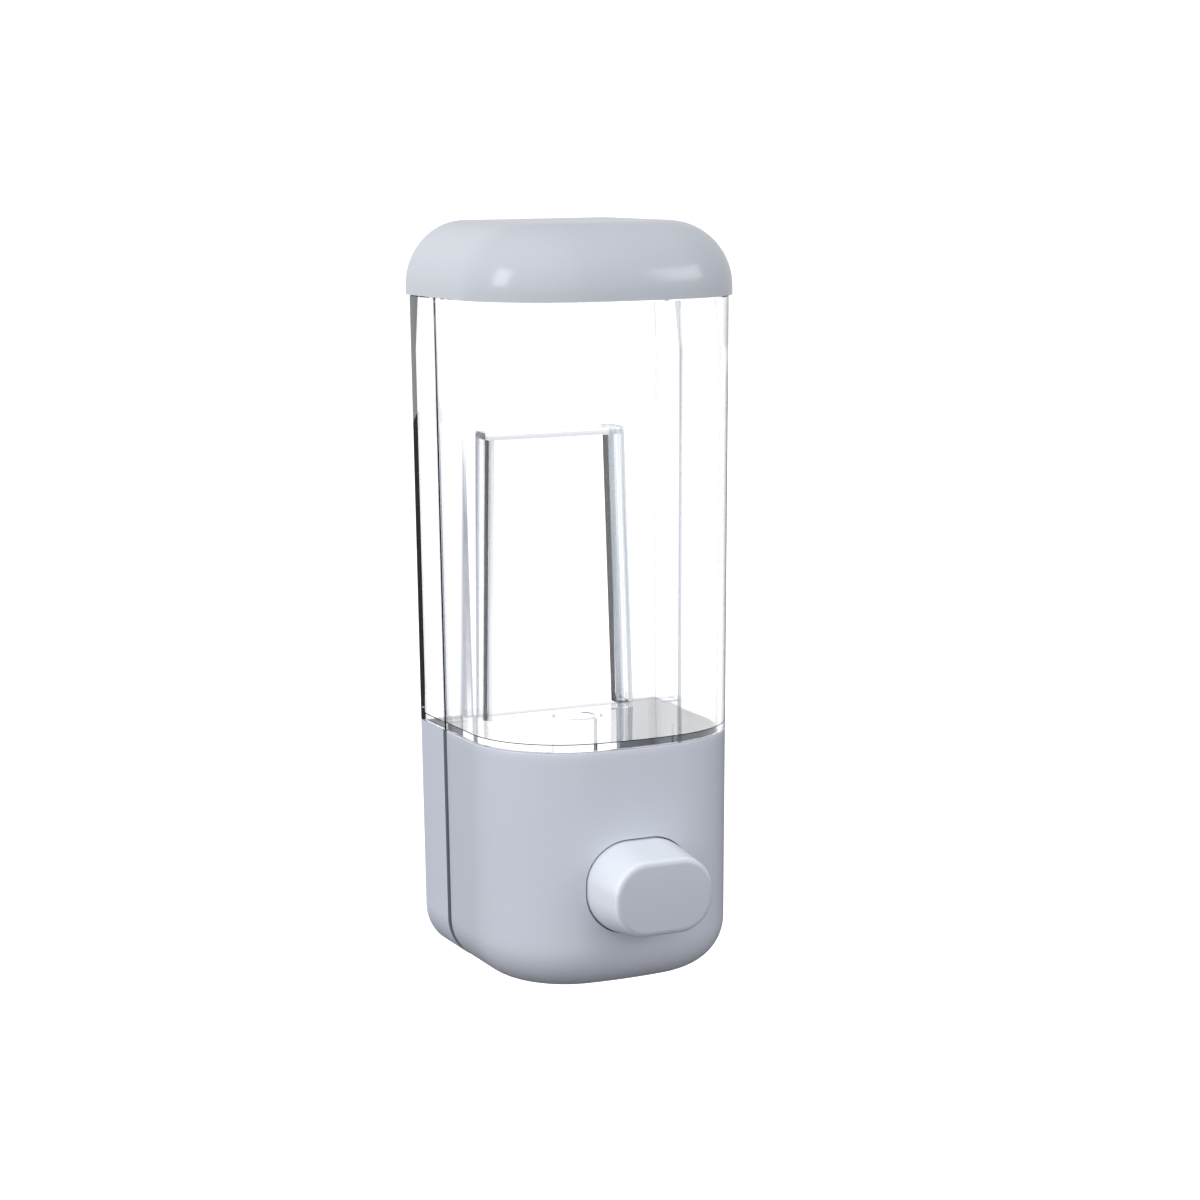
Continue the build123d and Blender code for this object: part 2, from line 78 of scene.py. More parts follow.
# Shell, shared by the housing, the container and the lid
BASE_Z = cover_low[2]
HOUSING_Z = cover_high[2]
LID_Z = lid_low[2]
LID_OVERHANG = 1.0
HALF_TOP = lid_high[0] - LID_OVERHANG
FRONT_TOP = container_low[1]
BACK_Y = container_high[1]
SEAM_Y = cover_high[1]
SLOPE = (HALF_TOP - cover_high[0]) / (LID_Z - HOUSING_Z)
CORNER = 27.2
BOW = 109.0
BACK_STEP = 0.3
BACK_CORNER = 0.6
CORNER_FILL = 0.2

HOUSING_WALL = 2.2
BOTTOM_ROUND = 13.0
COVER_EDGE = 0.5
INNER_EDGE = 0.03
CONTAINER_WALL = 2.0
FLOOR_Z = HOUSING_Z + 2.0
FLOOR_PLATE = 0.25
SEAT_GAP = 0.08
LID_WALL = 2.0
LID_EDGE = 0.35
LID_ROUND = 17.5
NECK_INSET = 1.6
NECK_WALL = 1.8
NECK_TOP = container_high[2]
THICKEN_Z = BASE_Z + 170.0
LID_SKIRT = 11.0
SKIRT_WALL = 1.6

SPIGOT_LOW = container_low[2]
SPIGOT_R = 7.0
SPIGOT_BORE_R = 5.0
COLLAR_R = 9.5
COLLAR_HEIGHT = 52.0
SPIGOT_Y = (socket_low[1] + socket_high[1]) / 2

RECESS_TOP = BASE_Z + 145.0
RECESS_Y = -12.5
RECESS_HALF_TOP = 19.7
RECESS_HALF_LOW = 21.8
RECESS_CORNER = 1.5

BUTTON_FRONT = button_low[1]
BUTTON_SHOULDER = -66.0
BUTTON_BACK = button_high[1]
BUTTON_END = (28.5, 20.0)
BUTTON_BASE = (30.0, 25.0)
BUTTON_EDGE = 1.5
BUTTON_WALL = 1.8
BUTTON_FLANGE = 2.0
BUTTON_GAP = 0.4
BUTTON_ROUNDNESS = 0.46
NOZZLE_HOLE_R = 5.0

SPRING_WIRE_R = 0.45
SPRING_R = 7.0
SPRING_TURNS = 7.5

# Camera
CAMERA_AZIMUTH = -25.154
CAMERA_ELEVATION = 8.964
CAMERA_ROLL = -0.545
CAMERA_DISTANCE = 0.78124
CAMERA_AIM = Vector((0.001465, -0.038, 0.073515))
SENSOR = 36.0
LENS = 85.98

# Tones of the moulded plastics, and the gloss of the shell. The lid's grey is set darker than the
# cover's as painted shade; the button end's tone and the groove's tone are painted shade, and the
# pale tone at the seam's edge is a painted highlight.
SHELL_GREY = (0.56, 0.58, 0.645)
REAR_GREY = (0.575, 0.60, 0.68)
# painted shade: the lid's grey is darker than the cover's to stand for the shade on the lid
LID_SHADED_GREY = (0.46, 0.475, 0.52)
BUTTON_GREY = (0.72, 0.745, 0.80)
# painted shade: a darker grey for the button's front end than for its sides, for the shade on the
# end face
END_PAINTED_SHADE = (0.49, 0.505, 0.55)
# painted highlight: a paler band along the cover's back edge, for the light caught by its rounded
# lip
SEAM_PAINTED_HIGHLIGHT = (0.78, 0.80, 0.85)
# painted shade: a near black grey for the shadow in the seam's groove
GROOVE_PAINTED_SHADE = (0.16, 0.17, 0.2)
SHELL_GLOSS = 0.19

# Studio
KEY_SIDE = (-0.8, -0.6, -0.25)
DIM_SIDE = 0.34
BRIGHT_SIDE = 1.72
BACK_SIDE = (-0.35, 0.93, 0.1)
BACK_GLOW = 0.4
GLOSS_FILL = 0.4
BACKDROP = 1.25
FLOOR_GREY = (0.12, 0.12, 0.13)


# ---------------------------------------------------------------- shapes


def half_at(z):
    """Half width of the shell at a height: it draws in evenly going down."""
    return HALF_TOP - (LID_Z - z) * SLOPE


def front_at(z):
    """Y of the front at a height: it draws in by the same slope."""
    return FRONT_TOP + (LID_Z - z) * SLOPE


def arc(cx, cy, radius, start, end, steps):
    """Points centre + radius (cos a, sin a), for a from start to end in degrees."""
    a = np.radians(np.linspace(start, end, steps))
    return np.stack([cx + radius * np.cos(a), cy + radius * np.sin(a)], 1)


def line(start, end, steps):
    """Evenly spaced points from start to end."""
    t = np.linspace(0, 1, steps)[:, None]
    return np.array(start) * (1 - t) + np.array(end) * t


def front_path(half, front, back, inset, soft=0.0, sides=10, corner_steps=28, nose_steps=20):
    """Plan from the right back, round the front, to the left back, its ends rounded by soft.

    The front is an arc of radius R about (0, front + R).  Each corner is a circle of radius r that
    touches the side and that arc from inside, so its centre is half - r across, and R - r away
    from the arc's centre.
    """
    r, big = CORNER - inset, BOW - inset
    cx = half - r
    cy = front + big - math.sqrt((big - r) ** 2 - cx**2)
    turn = math.degrees(math.atan2(cx, front + big - cy))
    side = line((half, back - soft), (half, cy), sides)
    if soft:
        side = np.vstack([arc(half - soft, back - soft, soft, 90, 0, 5)[:-1], side])
    corner = arc(cx, cy, r, 0, turn - 90, corner_steps)
    nose = arc(0, front + big, big, turn - 90, -90, nose_steps)
    right = np.vstack([side[:-1], corner, nose[1:]])
    left = right[:-1][::-1] * [-1, 1]
    return np.vstack([right, left])


def at_height(path, z):
    """Plan points lifted to one height."""
    return np.column_stack([path, np.full(len(path), z)])


def rounded(radius, steps):
    """Quarter round: pairs (how far along the axis, how far in) of (r sin t, r (1 - cos t))."""
    t = np.linspace(0, math.pi / 2, steps)
    return np.stack([radius * np.sin(t), radius * (1 - np.cos(t))], 1)


def closed_mesh(name, vertices, faces):
    """Mesh from points in mm, with its doubles merged and its faces turned outwards."""
    mesh = bpy.data.meshes.new(name)
    mesh.from_pydata((np.asarray(vertices) * MM).tolist(), [], faces)
    work = bmesh.new()
    work.from_mesh(mesh)
    bmesh.ops.remove_doubles(work, verts=work.verts, dist=1e-6)
    bmesh.ops.recalc_face_normals(work, faces=work.faces)
    work.to_mesh(mesh)
    work.free()
    return mesh


def put_in_scene(name, mesh):
    """Object at the origin with a mesh, in the scene."""
    piece = bpy.data.objects.new(name, mesh)
    bpy.context.scene.collection.objects.link(piece)
    return piece


def make_piece(name, vertices, faces, material, body, node, sharp, bevel=0.0):
    """A piece, smooth except over sharp edges, riding on a body in place of a CAD node."""
    mesh = closed_mesh(name, vertices, faces)
    piece = put_in_scene(name, mesh)
    smooth(piece, sharp)
    if bevel:
        edge = piece.modifiers.new("edge", "BEVEL")
        edge.width = bevel * MM
        edge.segments = 3
        edge.limit_method = "ANGLE"
        edge.angle_limit = math.radians(40)
        edge.harden_normals = True
    mesh.materials.append(material)
    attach(piece, body)
    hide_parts(node)
    return piece


def smooth(piece, sharp):
    """Smooth shading, broken at edges sharper than an angle in degrees."""
    mesh = piece.data
    mesh.polygons.foreach_set("use_smooth", [True] * len(mesh.polygons))
    mesh.set_sharp_from_angle(angle=math.radians(sharp))


def weigh_normals(piece):
    """Let the large faces decide the shading beside narrow rounds."""
    weighted = piece.modifiers.new("weighted", "WEIGHTED_NORMAL")
    weighted.mode = "FACE_AREA"
    weighted.keep_sharp = True


class Skin:
    """Vertices and faces gathered from grids of points."""

    def __init__(self):
        self.points = []
        self.faces = []
        self.count = 0

    def add(self, points):
        """Keep points and return their numbers, in the same arrangement."""
        points = np.asarray(points, float)
        numbers = self.count + np.arange(points[..., 0].size).reshape(points.shape[:-1])
        self.points.append(points.reshape(-1, 3))
        self.count += numbers.size
        return numbers

    def quads(self, grid, closed):
        """Faces between neighbouring rows and columns of a grid of numbers."""
        if closed:
            grid = np.concatenate([grid, grid[:, :1]], 1)
        corners = (grid[:-1, :-1], grid[:-1, 1:], grid[1:, 1:], grid[1:, :-1])
        self.faces += np.stack(corners, -1).reshape(-1, 4).tolist()

    def cap(self, ring):
        """One flat face over a ring."""
        self.faces.append(list(ring))

    def strip(self, ring_a, ring_b, closed):
        """Faces between two rows of numbers."""
        self.quads(np.stack([ring_a, ring_b]), closed)

    def vertices(self):
        return np.vstack(self.points)


def thick_shell(skin, outer, inner, closed):
    """Wall between two grids: their first rows make the rim, and their last rows are capped."""
    outside, inside = skin.add(outer), skin.add(inner)
    for grid in (outside, inside):
        skin.quads(grid, closed)
        skin.cap(grid[-1])
    skin.strip(outside[0], inside[0], closed)
    if not closed:
        for column in (0, -1):
            skin.strip(outside[:, column], inside[:, column], False)
        skin.strip(outside[-1][[0, -1]], inside[-1][[0, -1]], False)


def cover_grid(inset, soft):
    """Front cover's skin: drafted walls, then a quarter round of BOTTOM_ROUND under them.

    Its rim and its ends at the seam are rounded by soft.
    """
    turn = BOTTOM_ROUND - inset
    levels = [(HOUSING_Z - soft + up, into) for up, into in rounded(soft, 5)[:0:-1]]
    levels += [(z, 0.0) for z in np.linspace(HOUSING_Z - soft, BASE_Z + BOTTOM_ROUND, 24)]
    levels += [(BASE_Z + BOTTOM_ROUND - down, into) for down, into in rounded(turn, 18)[1:]]
    rows = []
    for z, into in levels:
        half, front = half_at(z) - inset - into, front_at(z) + inset + into
        rows.append(at_height(front_path(half, front, SEAM_Y, inset + into, soft), z))
    return np.array(rows)


def lid_grid(inset):
    """Lid's skin: a short wall, then a quarter round of LID_ROUND over its sides and front."""
    turn = LID_ROUND - inset
    half, front = lid_high[0] - inset, lid_low[1] + inset
    back = lid_high[1] - inset
    round_z = lid_high[2] - LID_ROUND
    levels = [(z, 0.0) for z in np.linspace(lid_low[2], round_z, 5)]
    levels += [(round_z + up, into) for up, into in rounded(turn, 28)[1:]]
    rows = []
    for z, into in levels:
        grow = inset + into - LID_OVERHANG
        path = front_path(half - into, front + into, back, grow)
        across = line(path[-1], path[0], 16)[1:-1]
        rows.append(at_height(np.vstack([path, across]), z))
    return np.array(rows)


def oblong(width, height, y, steps=24):
    """Button's outline at a depth: a rectangle whose corner radius is a share of its height."""
    r = BUTTON_ROUNDNESS * height
    cx, cz = width / 2 - r, height / 2 - r
    quarters = [
        arc(sx * cx, sz * cz, r, start, start + 90, steps)
        for sx, sz, start in ((1, 1, 0), (-1, 1, 90), (-1, -1, 180), (1, -1, 270))
    ]
    outline = np.vstack(quarters)
    return np.column_stack([outline[:, 0], np.full(len(outline), y), outline[:, 1]])


def button_size(y):
    """Width and height of the button at a depth: even to the shoulder, then tapering."""
    t = np.clip((y - BUTTON_SHOULDER) / (BUTTON_FRONT - BUTTON_SHOULDER), 0, 1)
    return [base + (end - base) * t for base, end in zip(BUTTON_BASE, BUTTON_END)]


def button_row(y, into):
    """One outline of the button, drawn in."""
    width, height = button_size(y)
    return oblong(width - 2 * into, height - 2 * into, y)


def make_push_button(material):
    """Button: a hollow tapered nose with a rounded end edge, and a flange behind."""
    lip = BUTTON_BACK - 1.2
    outer = [button_row(BUTTON_BACK, -BUTTON_FLANGE), button_row(lip, -BUTTON_FLANGE)]
    outer += [button_row(y, 0) for y in np.linspace(lip, BUTTON_SHOULDER, 5)]
    edge = BUTTON_FRONT + BUTTON_EDGE
    outer += [button_row(y, 0) for y in np.linspace(BUTTON_SHOULDER, edge, 8)[1:]]
    outer += [button_row(edge - out, into) for out, into in rounded(BUTTON_EDGE, 9)[1:]]
    depth = BUTTON_FRONT + BUTTON_WALL
    inner = [button_row(y, BUTTON_WALL) for y in np.linspace(BUTTON_BACK, depth, len(outer))]
    skin = Skin()
    thick_shell(skin, np.array(outer), np.array(inner), True)
    return make_piece(
        "button_nose", skin.vertices(), skin.faces, material, "button", "push_button", 28
    )


def make_lid(material):
    """Lid's shell, and the skirt inside it that stands in the container's mouth."""
    skin = Skin()
    thick_shell(skin, lid_grid(0), lid_grid(LID_WALL), True)
    plug = NECK_INSET + NECK_WALL + 0.5
    rings = []
    for inset in (plug, plug + SKIRT_WALL):
        rows = []
        for z in (LID_Z + 1.0, LID_Z + LID_SKIRT):
            path = front_path(half_at(z) - inset, front_at(z) + inset, BACK_Y - inset, inset)
            across = line(path[-1], path[0], 16)[1:-1]
            rows.append(at_height(np.vstack([path, across]), z))
        rings.append(skin.add(rows))
    for ring in rings:
        skin.quads(ring, True)
    for end in (0, 1):
        skin.strip(rings[0][end], rings[1][end], True)
    points = skin.vertices()
    return make_piece("lid_shell", points, skin.faces, material, "lid", "lid", 30, LID_EDGE)


def make_front_cover(material):
    """Front cover's shell, with the button's opening and the nozzle's hole cut through it."""
    skin = Skin()
    outer, inner = cover_grid(0, COVER_EDGE), cover_grid(HOUSING_WALL, INNER_EDGE)
    thick_shell(skin, outer, inner, False)
    cover = make_piece(
        "cover_shell", skin.vertices(), skin.faces, material, "dispenser", "front_cover", 30
    )
    width, height = (base + 2 * BUTTON_GAP for base in BUTTON_BASE)
    opening = np.array([oblong(width, height, y) for y in (-75, -55)])
    nozzle_low, nozzle_high = box_mm("nozzle")
    middle = (nozzle_low + nozzle_high) / 2
    ring = arc(middle[0], middle[1], NOZZLE_HOLE_R, 0, 360, 49)[:-1]
    hole = np.array([at_height(ring, z) for z in (BASE_Z - 3, BASE_Z + 6)])
    cut(cover, [opening, hole])
    smooth(cover, 30)
    return cover


def cut(piece, grids):
    """Cut closed prisms, each given as two rings, out of a piece."""
    skin = Skin()
    for rings in grids:
        numbers = skin.add(rings)
        skin.quads(numbers, True)
        for ring in numbers:
            skin.cap(ring)
    cutter = put_in_scene("cutter", closed_mesh("cutter", skin.vertices(), skin.faces))
    difference = piece.modifiers.new("opening", "BOOLEAN")
    difference.operation = "DIFFERENCE"
    difference.solver = "EXACT"
    difference.object = cutter
    graph = bpy.context.evaluated_depsgraph_get()
    result = bpy.data.meshes.new_from_object(piece.evaluated_get(graph), depsgraph=graph)
    piece.modifiers.remove(difference)
    piece.data = result
    bpy.data.objects.remove(cutter)


# ---------------------------------------------------------------- container


def container_loop(z, inset, recess):
    """Closed plan of the container's wall at a height, moved into the wall by inset.

    It is the front path, an S-shaped step of BACK_STEP at the seam, the wider back with its
    rounded corners, and, where recess is true, the recess in the back.
    """
    half, front = half_at(z) - inset, front_at(z) + inset
    ahead = SEAM_Y - 0.5 + (0.4 * inset)
    path = front_path(half, front, ahead, inset)
    wide = half + BACK_STEP
    back = BACK_Y - inset
    r = BACK_CORNER + CORNER_FILL * inset
    behind = ahead + 1.0
    step = line((wide, behind), (half, ahead), 7)[:-1]
    ease = (1 - np.cos(np.linspace(0, math.pi, 7)[:-1])) / 2
    step[:, 0] = wide - BACK_STEP * ease
    corner = arc(wide - r, back - r, r, 90, 0, 9)
    flank = line((wide, back - r), (wide, behind), 6)[1:-1]
    t = (RECESS_TOP - z) / (RECESS_TOP - HOUSING_Z)
    mouth = RECESS_HALF_TOP + (RECESS_HALF_LOW - RECESS_HALF_TOP) * max(t, 0) + inset
    start = line((mouth, back), (wide - r, back), 4)[:-1]
    right = np.vstack([start, corner, flank, step])
    left = right[::-1] * [-1, 1]
    loop = [right, path, left]
    if recess:
        deep, rr = RECESS_Y - inset, RECESS_CORNER + inset
        turn = arc(-(mouth - rr), deep + rr, rr, 180, 270, 7)
        inner_right = turn[::-1] * [-1, 1]
        shaft = line((-mouth, back), turn[0], 5)[1:-1]
        loop += [shaft, turn, inner_right, shaft[::-1] * [-1, 1]]
    return np.vstack(loop)


def container_grid(levels, recess):
    """Loops of the container's wall for pairs of height and inset."""
    return np.array([at_height(container_loop(z, inset, recess), z) for z, inset in levels])


def make_container(material, thin):
    """Container: walls round the recess, shoulder, neck and floor, and the spigot below it."""
    skin = Skin()
    wall = CONTAINER_WALL
    neck, mouth = NECK_INSET, NECK_INSET + NECK_WALL
    shoulder = LID_Z - 0.1
    # outer wall, from its foot up to the neck's rim
    seat = HOUSING_Z + SEAT_GAP
    outer = [(z, 0) for z in np.linspace(seat, RECESS_TOP, 20)]
    low_out = skin.add(container_grid(outer, True))
    levels = [(z, 0) for z in np.linspace(RECESS_TOP, shoulder - 0.3, 10)]
    levels += [(shoulder, 0.3), (shoulder, neck), (NECK_TOP - 0.3, neck), (NECK_TOP, neck + 0.3)]
    levels += [(NECK_TOP, mouth - 0.3), (NECK_TOP - 0.3, mouth)]
    thicken = np.linspace(1, 0, 7)
    levels += [(THICKEN_Z + t * (LID_Z - THICKEN_Z), wall + t * (mouth - wall)) for t in thicken]
    levels += [(z, wall) for z in np.linspace(THICKEN_Z, RECESS_TOP + wall, 8)[1:]]
    high = skin.add(container_grid(levels, False))
    inner = [(z, wall) for z in np.linspace(RECESS_TOP + wall, FLOOR_Z, 20)]
    low_in = skin.add(container_grid(inner, True))
    for grid in (low_out, high, low_in):
        skin.quads(grid, True)
    # where the recess ends, its ceiling joins the plain wall above it
    plain = high.shape[1]
    for ring, above in ((low_out[-1], high[0]), (low_in[0], high[-1])):
        skin.strip(ring[:plain], above, False)
        skin.cap(list(ring[plain - 1 :]) + [ring[0]])
    # foot of the wall, and the floor plate with the hole down into the spigot
    plate = FLOOR_Z - FLOOR_PLATE
    foot = skin.add(container_grid([(plate, wall), (seat, wall)], True))
    skin.quads(foot, True)
    skin.strip(foot[-1], low_out[0], True)
    around = np.linspace(0, 2 * math.pi, 49)[:-1]
    circle = np.stack([np.cos(around), np.sin(around)], 1)

    def ring_at(radius, z):
        return at_height(circle * radius + [0, SPIGOT_Y], z)

    hole = skin.add([ring_at(SPIGOT_BORE_R, z) for z in (FLOOR_Z, plate)])
    skin.quads(hole, True)
    piece = make_piece(
        "clear_container", skin.vertices(), skin.faces, material, "dispenser", "container", 30
    )
    fill_flat(piece, [FLOOR_Z, plate], MM)
    smooth(piece, 30)
    tube = Skin()
    bore, tube_r = [SPIGOT_BORE_R] * 2, [SPIGOT_R] * 2
    radii = (*bore, *tube_r, COLLAR_R, COLLAR_R, *tube_r)
    collar = BASE_Z + COLLAR_HEIGHT
    top = plate - 0.02
    heights = (top, SPIGOT_LOW, SPIGOT_LOW, collar, collar, collar + 2, collar + 2, top)
    rings = tube.add([ring_at(radius, z) for radius, z in zip(radii, heights)])
    tube.quads(rings, True)
    tube.strip(rings[-1], rings[0], True)
    make_piece("clear_spigot", tube.vertices(), tube.faces, thin, "dispenser", "container", 30)
    return piece


def fill_flat(piece, heights, scale):
    """Close the flat areas that open edges at these heights surround."""
    work = bmesh.new()
    work.from_mesh(piece.data)
    for z in heights:
        edges = [
            e
            for e in work.edges
            if e.is_boundary and all(abs(v.co.z - z * scale) < 1e-6 for v in e.verts)
        ]
        bmesh.ops.triangle_fill(work, use_beauty=True, use_dissolve=False, edges=edges)
    bmesh.ops.recalc_face_normals(work, faces=work.faces)
    work.to_mesh(piece.data)
    work.free()


# ---------------------------------------------------------------- small pieces


def make_spring(material):
    """Return spring: a wire along (R cos a, y, R sin a), with close end coils."""
    wire, coil, turns, around = SPRING_WIRE_R, SPRING_R, SPRING_TURNS, 10
    a = np.linspace(0, 2 * math.pi * turns, 420)
    t = a / a[-1]
    ease = np.interp(t, [0, 0.1, 0.9, 1], [0, 0.035, 0.965, 1])
    y = spring_high[1] - wire + (spring_low[1] - spring_high[1] + 2 * wire) * ease
    centre = np.stack([coil * np.cos(a), y, coil * np.sin(a)], 1)
    out = np.stack([np.cos(a), 0 * a, np.sin(a)], 1)
    forward = np.gradient(centre, axis=0)
    forward /= np.linalg.norm(forward, axis=1)[:, None]
    across = np.cross(forward, out)
    b = np.linspace(0, 2 * math.pi, around + 1)[:-1][None, :, None]
    grid = centre[:, None] + wire * (out[:, None] * np.cos(b) + across[:, None] * np.sin(b))
    skin = Skin()
    numbers = skin.add(grid)
    skin.quads(numbers, True)
    skin.cap(numbers[0])
    skin.cap(numbers[-1])
    spring = make_piece(
        "coil_spring", skin.vertices(), skin.faces, material, "dispenser", "return_spring", 60
    )
    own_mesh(spring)
    return spring


def fine_copy(node, body, material, sharp=30.0):
    """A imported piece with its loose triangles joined, so that its rounds shade smoothly."""
    source = frame["nodes"][node].data
    work = bmesh.new()
    work.from_mesh(source)
    bmesh.ops.remove_doubles(work, verts=work.verts, dist=2e-6)
    bmesh.ops.dissolve_degenerate(work, edges=work.edges, dist=1e-6)
    flat = math.radians(0.2)
    bmesh.ops.dissolve_limit(work, angle_limit=flat, verts=work.verts, edges=work.edges)
    mesh = bpy.data.meshes.new(node + "_fine")
    work.to_mesh(mesh)
    work.free()
    piece = put_in_scene(node + "_fine", mesh)
    mesh.materials.append(material)
    smooth(piece, sharp)
    weigh_normals(piece)
    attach(piece, body)
    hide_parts(node)
    return piece


# ---------------------------------------------------------------- materials


def new_group(name, inputs, outputs):
    """Empty shader group with named inputs, each with a default, and named outputs."""
    group = bpy.data.node_groups.new(name, "ShaderNodeTree")
    for label, kind, value in inputs:
        socket = group.interface.new_socket(label, in_out="INPUT", socket_type=kind)
        socket.default_value = value
    for label, kind in outputs:
        group.interface.new_socket(label, in_out="OUTPUT", socket_type=kind)
    return group, group.nodes.new("NodeGroupInput"), group.nodes.new("NodeGroupOutput")


def moulded_group():
    """Moulded plastic: slow mottling, fine grain in the gloss and relief, and paler worn edges."""
    group, given, result = new_group(
        "moulded_plastic",
        [
            ("Colour", "NodeSocketColor", (0.6, 0.6, 0.6, 1)),
            ("Mottle", "NodeSocketFloat", 0.04),
            ("Roughness", "NodeSocketFloat", 0.35),
            ("Grain Scale", "NodeSocketFloat", 1800.0),
            ("Grain Depth", "NodeSocketFloat", 0.05),
            ("Edge Wear", "NodeSocketFloat", 0.1),
        ],
        [
            ("Colour", "NodeSocketColor"),
            ("Roughness", "NodeSocketFloat"),
            ("Normal", "NodeSocketVector"),
        ],
    )
    nodes, links = group.nodes, group.links
    place = nodes.new("ShaderNodeTexCoord")

    slow = nodes.new("ShaderNodeTexNoise")
    slow.inputs["Scale"].default_value = 22.0
    slow.inputs["Detail"].default_value = 3.0
    links.new(place.outputs["Object"], slow.inputs["Vector"])
    grain = nodes.new("ShaderNodeTexNoise")
    grain.inputs["Detail"].default_value = 2.0
    links.new(place.outputs["Object"], grain.inputs["Vector"])
    links.new(given.outputs["Grain Scale"], grain.inputs["Scale"])

    centred = nodes.new("ShaderNodeMath")
    centred.operation = "SUBTRACT"
    centred.inputs[1].default_value = 0.5
    links.new(slow.outputs["Fac"], centred.inputs[0])
    amount = nodes.new("ShaderNodeMath")
    amount.operation = "MULTIPLY_ADD"
    amount.inputs[2].default_value = 1.0
    links.new(centred.outputs[0], amount.inputs[0])
    links.new(given.outputs["Mottle"], amount.inputs[1])
    toned = nodes.new("ShaderNodeVectorMath")
    toned.operation = "SCALE"
    links.new(given.outputs["Colour"], toned.inputs[0])
    links.new(amount.outputs[0], toned.inputs["Scale"])

    edge = nodes.new("ShaderNodeNewGeometry")
    worn = nodes.new("ShaderNodeMapRange")
    worn.inputs["From Min"].default_value = 0.52
    worn.inputs["From Max"].default_value = 0.62
    links.new(edge.outputs["Pointiness"], worn.inputs["Value"])
    share = nodes.new("ShaderNodeMath")
    share.operation = "MULTIPLY"
    links.new(worn.outputs["Result"], share.inputs[0])
    links.new(given.outputs["Edge Wear"], share.inputs[1])
    paler = nodes.new("ShaderNodeMix")
    paler.data_type = "RGBA"
    paler.inputs["B"].default_value = (0.9, 0.92, 0.95, 1)
    links.new(share.outputs[0], paler.inputs["Factor"])
    links.new(toned.outputs["Vector"], paler.inputs["A"])
    links.new(paler.outputs["Result"], result.inputs["Colour"])

    gloss = nodes.new("ShaderNodeMath")
    gloss.operation = "MULTIPLY_ADD"
    gloss.inputs[1].default_value = 0.12
    links.new(centred.outputs[0], gloss.inputs[0])
    links.new(given.outputs["Roughness"], gloss.inputs[2])
    links.new(gloss.outputs[0], result.inputs["Roughness"])

    relief = nodes.new("ShaderNodeBump")
    relief.inputs["Distance"].default_value = 0.00004
    links.new(given.outputs["Grain Depth"], relief.inputs["Strength"])
    links.new(grain.outputs["Fac"], relief.inputs["Height"])
    links.new(relief.outputs["Normal"], result.inputs["Normal"])
    return group


MOULDED = moulded_group()


def shader_of(material):
    """The material's Principled shader."""
    return material.node_tree.nodes["Principled BSDF"]


def moulded(name, colour, roughness, mottle=0.05, grain=1800.0, depth=0.05, wear=0.1, **sockets):
    """A moulded plastic, with its constant values set on the shader itself."""
    material = bpy.data.materials.new(name)
    material.use_nodes = True
    tree, shader = material.node_tree, shader_of(material)
    finish = tree.nodes.new("ShaderNodeGroup")
    finish.node_tree = MOULDED
    values = {
        "Colour": (*colour, 1),
        "Roughness": roughness,
        "Mottle": mottle,
        "Grain Scale": grain,
        "Grain Depth": depth,
        "Edge Wear": wear,
    }
    for label, value in values.items():
        finish.inputs[label].default_value = value
    tree.links.new(finish.outputs["Colour"], shader.inputs["Base Color"])
    tree.links.new(finish.outputs["Roughness"], shader.inputs["Roughness"])
    tree.links.new(finish.outputs["Normal"], shader.inputs["Normal"])
    for label, value in sockets.items():
        shader.inputs[label.replace("_", " ")].default_value = value
    return material


def paint_shading_between(material, colour, low, high, soft):
    """Paint light or shade onto a moulded plastic as another tone between two depths y, with soft
    edges.
    """
    tree, shader = material.node_tree, shader_of(material)
    finish = shader.inputs["Base Color"].links[0].from_node
    place = tree.nodes.new("ShaderNodeTexCoord")
    parts = tree.nodes.new("ShaderNodeSeparateXYZ")
    tree.links.new(place.outputs["Object"], parts.inputs[0])
    y = wire(tree)("MULTIPLY", parts.outputs[1], 1000.0)
    tone = tree.nodes.new("ShaderNodeMix")
    tone.data_type = "RGBA"
    tone.inputs[6].default_value = finish.inputs["Colour"].default_value
    tone.inputs[7].default_value = (*colour, 1)
    tree.links.new(between(tree, y, low, high, soft), tone.inputs[0])
    tree.links.new(tone.outputs[2], finish.inputs["Colour"])


def wire(tree):
    """Function that adds a Math node fed by sockets or numbers and returns its output."""

    def step(operation, *given, clamp=False):
        node = tree.nodes.new("ShaderNodeMath")
        node.operation = operation
        node.use_clamp = clamp
        for socket, value in zip(node.inputs, given):
            if isinstance(value, (int, float)):
                socket.default_value = value
            else:
                tree.links.new(value, socket)
        return node.outputs[0]

    return step


def between(tree, value, low, high, soft):
    """Mask that is 1 between two levels, with soft edges outside them."""
    step = wire(tree)
    up = step("DIVIDE", step("SUBTRACT", value, low - soft), soft, clamp=True)
    down = step("DIVIDE", step("SUBTRACT", high + soft, value), soft, clamp=True)
    return step("MULTIPLY", up, down)


def colour_ramp(tree, factor, stops):
    """Grey ramp from pairs of position and value."""
    ramp = tree.nodes.new("ShaderNodeValToRGB")
    elements = ramp.color_ramp.elements
    while len(elements) < len(stops):
        elements.new(0.5)
    for element, (position, value) in zip(elements, stops):
        element.position = position
        element.color = (value, value, value, 1)
    tree.links.new(factor, ramp.inputs[0])
    return ramp.outputs["Color"]


